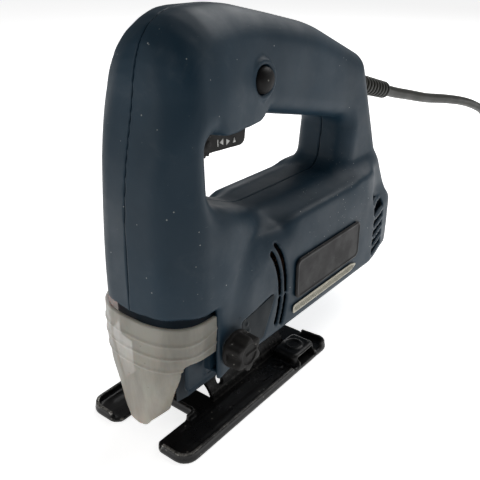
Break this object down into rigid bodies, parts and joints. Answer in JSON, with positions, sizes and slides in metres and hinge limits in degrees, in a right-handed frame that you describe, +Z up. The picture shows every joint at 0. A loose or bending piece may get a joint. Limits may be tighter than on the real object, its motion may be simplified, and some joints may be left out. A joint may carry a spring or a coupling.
{
  "type": "jigsaw power tool",
  "caption": "Corded D-handle jigsaw: two-part housing, motor and gear train, reciprocating plunger, tilting forked shoe, clear blade guard, trigger with speed dial and coiled mains cord.",
  "frame": {"origin": "where the axis of the plunger and blade meets the plane of the shoe's sole", "axes": "+X forward to the nose, +Y to the tool's left side, +Z up along the plunger"},
  "size_m": [0.6325, 0.1055, 0.1895],
  "materials": {
    "housing": "slate blue moulded plastic, fine texture, scuffed",
    "gear_case_blue": "slate blue glass-filled plastic",
    "screw_steel": "plated",
    "black_steel": "blackened",
    "cast_foot": "die cast",
    "name_plate": "dark printed plate without lettering",
    "trim_silver": "worn silver print",
    "panel_black": "satin",
    "lamination": "stacked laminations",
    "winding": "enamelled copper",
    "bearing_steel": "ground",
    "brass": "satin",
    "carbon": "carbon",
    "switch_black": "moulded",
    "capacitor": "potted",
    "bronze": "sintered",
    "cord_rubber": "satin rubber",
    "tie_black": "strap",
    "plug_rubber": "moulded",
    "fan_plastic": "moulded",
    "gear_steel": "machined",
    "clamp_steel": "oiled",
    "knob_black": "worn",
    "trigger_black": "satin",
    "shoe_black": "semi-gloss black, worn edges",
    "guard_clear": "translucent, yellowed and scuffed"
  },
  "bodies": {
    "housing": {"housing_left": "housing", "housing_right": "housing", "housing_screws": "screw_steel", "gear_case": "gear_case_blue", "saddle_foot": "cast_foot", "foot_clamp_pad": "screw_steel", "foot_clamp_screw": "black_steel", "name_plate": "name_plate", "trim_strip": "trim_silver", "selector_panel": "panel_black", "stator_core": "lamination", "field_coils": "winding", "front_bearing": "bearing_steel", "rear_bearing": "bearing_steel", "brush_holders": "brass", "carbon_brushes": "carbon", "brush_springs": "bearing_steel", "switch_body": "switch_black", "suppressor_capacitor": "capacitor", "upper_plunger_bush": "bronze", "lower_plunger_bush": "bronze", "gear_axle": "bearing_steel", "arm_pivot_pin": "bearing_steel", "strain_relief": "cord_rubber", "cord_clamp": "switch_black", "cord_clamp_screws": "screw_steel", "cord_tube": "cord_rubber", "cord_coil": "cord_rubber", "cord_tail": "cord_rubber", "cord_tie": "tie_black", "plug_body": "plug_rubber", "plug_pins": "brass", "lock_spring": "bearing_steel", "trigger_spring": "bearing_steel"},
    "armature": {"armature_shaft": "bearing_steel", "armature_core": "lamination", "commutator": "winding", "cooling_fan": "fan_plastic"},
    "gear": {"drive_gear": "gear_steel", "crank_pin": "bearing_steel"},
    "plunger": {"plunger_rod": "bearing_steel", "plunger_yoke": "gear_steel", "blade_clamp": "clamp_steel", "clamp_screws": "screw_steel"},
    "roller_arm": {"roller_bracket": "black_steel", "roller_pin": "bearing_steel"},
    "roller": {"guide_roller": "gear_steel"},
    "selector": {"selector_knob": "knob_black"},
    "trigger_body": {"trigger": "trigger_black"},
    "dial": {"speed_dial": "trigger_black"},
    "lock": {"lock_button": "trigger_black"},
    "shoe": {"shoe_plate": "shoe_black", "shoe_saddle": "shoe_black"},
    "guard": {"blade_guard": "guard_clear"}
  },
  "joints": [
    {"name": "armature_spin", "type": "hinge", "parent": "housing", "child": "armature", "pos_m": [-0.09, 0, 0.054], "axis": [1, 0, 0], "continuous": true},
    {"name": "gear_spin", "type": "hinge", "parent": "housing", "child": "gear", "pos_m": [-0.019, 0, 0.0733], "axis": [1, 0, 0], "continuous": true},
    {"name": "plunger_stroke", "type": "slide", "parent": "housing", "child": "plunger", "axis": [0, 0, 1], "range_m": [-0.018, 0]},
    {"name": "roller_swing", "type": "hinge", "parent": "housing", "child": "roller_arm", "pos_m": [-0.014, 0, 0.038], "axis": [0, 1, 0], "range_deg": [0, 4]},
    {"name": "roller_spin", "type": "hinge", "parent": "roller_arm", "child": "roller", "pos_m": [-0.0106, 0, 0.016], "axis": [0, 1, 0], "continuous": true},
    {"name": "orbit_select", "type": "hinge", "parent": "housing", "child": "selector", "pos_m": [-0.0145, 0.03, 0.0445], "axis": [0, 1, 0], "range_deg": [0, 90]},
    {"name": "trigger_pull", "type": "slide", "parent": "housing", "child": "trigger_body", "axis": [0, 0, 1], "range_m": [0, 0.006], "stiffness_N_per_m": 600, "springref_m": -0.004, "deforming": ["trigger_spring"]},
    {"name": "speed_dial_turn", "type": "hinge", "parent": "trigger_body", "child": "dial", "pos_m": [-0.0295, 0, 0.133], "axis": [0, 1, 0], "range_deg": [-120, 120]},
    {"name": "lock_press", "type": "slide", "parent": "housing", "child": "lock", "axis": [0, -1, 0], "range_m": [0, 0.004], "stiffness_N_per_m": 400, "springref_m": -0.003, "deforming": ["lock_spring"]},
    {"name": "shoe_tilt", "type": "hinge", "parent": "housing", "child": "shoe", "pos_m": [-0.049, 0, 0], "axis": [1, 0, 0], "range_deg": [-45, 45]},
    {"name": "guard_pull", "type": "slide", "parent": "housing", "child": "guard", "axis": [1, 0, 0], "range_m": [0, 0.045]}
  ],
  "couplings": [
    {"joint": "gear_spin", "follows": "armature_spin", "ratio": -0.2}
  ]
}
